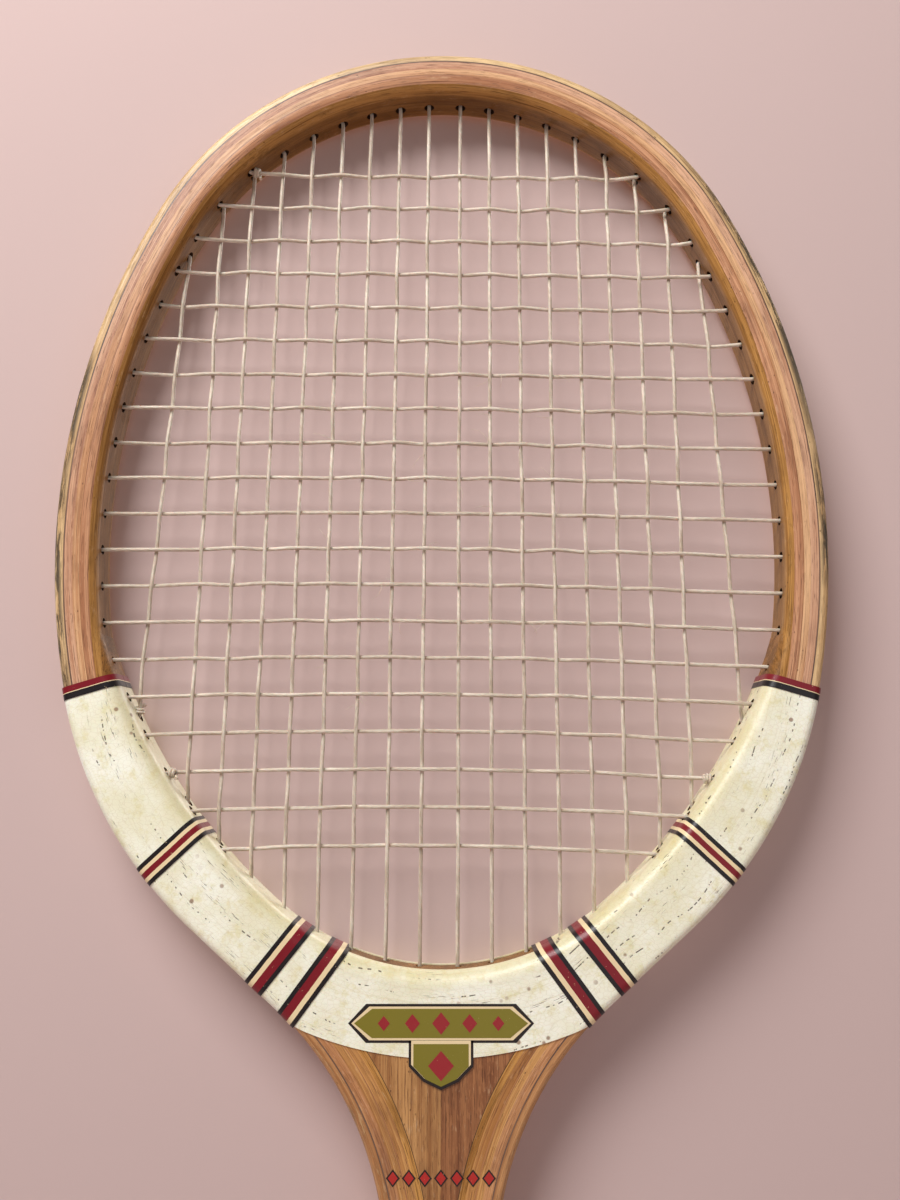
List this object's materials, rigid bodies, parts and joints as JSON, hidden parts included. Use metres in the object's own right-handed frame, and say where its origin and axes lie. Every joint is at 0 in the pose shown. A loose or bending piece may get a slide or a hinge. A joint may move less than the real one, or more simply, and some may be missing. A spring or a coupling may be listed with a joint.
{
  "type": "tennis racket",
  "caption": "Laminated wooden hand racket: oval head with a woven gut string bed, parchment-wrapped shoulders with striped bands, slim shaft and leather-bound octagonal handle.",
  "frame": {"origin": "centre of the butt's flat end face", "axes": "+Z from the butt along the handle to the crown of the head; +X across the head, to the right seen from the front; +Y from the front face to the back face, with the strings in the plane Y = 0"},
  "size_m": [0.2316, 0.0376, 0.686],
  "materials": {
    "golden_ash": "clear varnished golden ash, straight grain along the bend",
    "dark_fibre": "thin dark vulcanised fibre between plies, varnished over",
    "red_beech": "clear varnished reddish beech with short flecks",
    "mahogany": "clear varnished mahogany, short dark pores",
    "brown_wedge": "clear varnished mid-brown hardwood, upright grain",
    "dark_wedge": "clear varnished dark walnut-brown hardwood with pale flecks",
    "handle_wood": "pale light hardwood, varnished where it shows",
    "butt_plastic": "satin black moulded cap",
    "brass_tack": "dulled brass",
    "grip_leather": "brown perforated calf, worn and slightly shiny on the corners",
    "collar_tape": "black adhesive finishing tape",
    "gut_string": "natural gut, dull cream with a slight translucency and frayed spots",
    "vellum": "cream parchment under yellowed varnish, fine cracks and small brown spots",
    "band_tape": "narrow navy-black, buff and crimson stripes under varnish",
    "crest_transfer": "printed transfer: olive plaque with cream line, black outline and crimson diamonds",
    "red_transfer": "small crimson diamonds with a black outline, printed transfer"
  },
  "bodies": {
    "root": {"outer_ash_ply": "golden_ash", "outer_fibre_ply": "dark_fibre", "beech_ply": "red_beech", "centre_ash_ply": "golden_ash", "inner_fibre_ply": "dark_fibre", "mahogany_ply": "mahogany", "inner_ash_ply": "golden_ash", "throat_bow": "golden_ash", "throat_wedge_left": "brown_wedge", "throat_wedge_right": "dark_wedge", "handle_pallet_front": "handle_wood", "handle_pallet_back": "handle_wood", "handle_flake_left": "handle_wood", "handle_flake_right": "handle_wood", "butt_flare": "handle_wood", "butt_cap": "butt_plastic", "butt_tacks": "brass_tack", "grip_leather": "grip_leather", "grip_collar": "collar_tape", "collar_tack": "brass_tack", "main_string": "gut_string", "cross_string": "gut_string", "string_knots": "gut_string", "vellum_left": "vellum", "vellum_right": "vellum", "vellum_throat_front": "vellum", "vellum_throat_back": "vellum", "end_band": "band_tape", "middle_band": "band_tape", "upper_throat_band": "band_tape", "lower_throat_band": "band_tape", "throat_crest": "crest_transfer", "throat_diamonds": "red_transfer"}
  },
  "joints": []
}
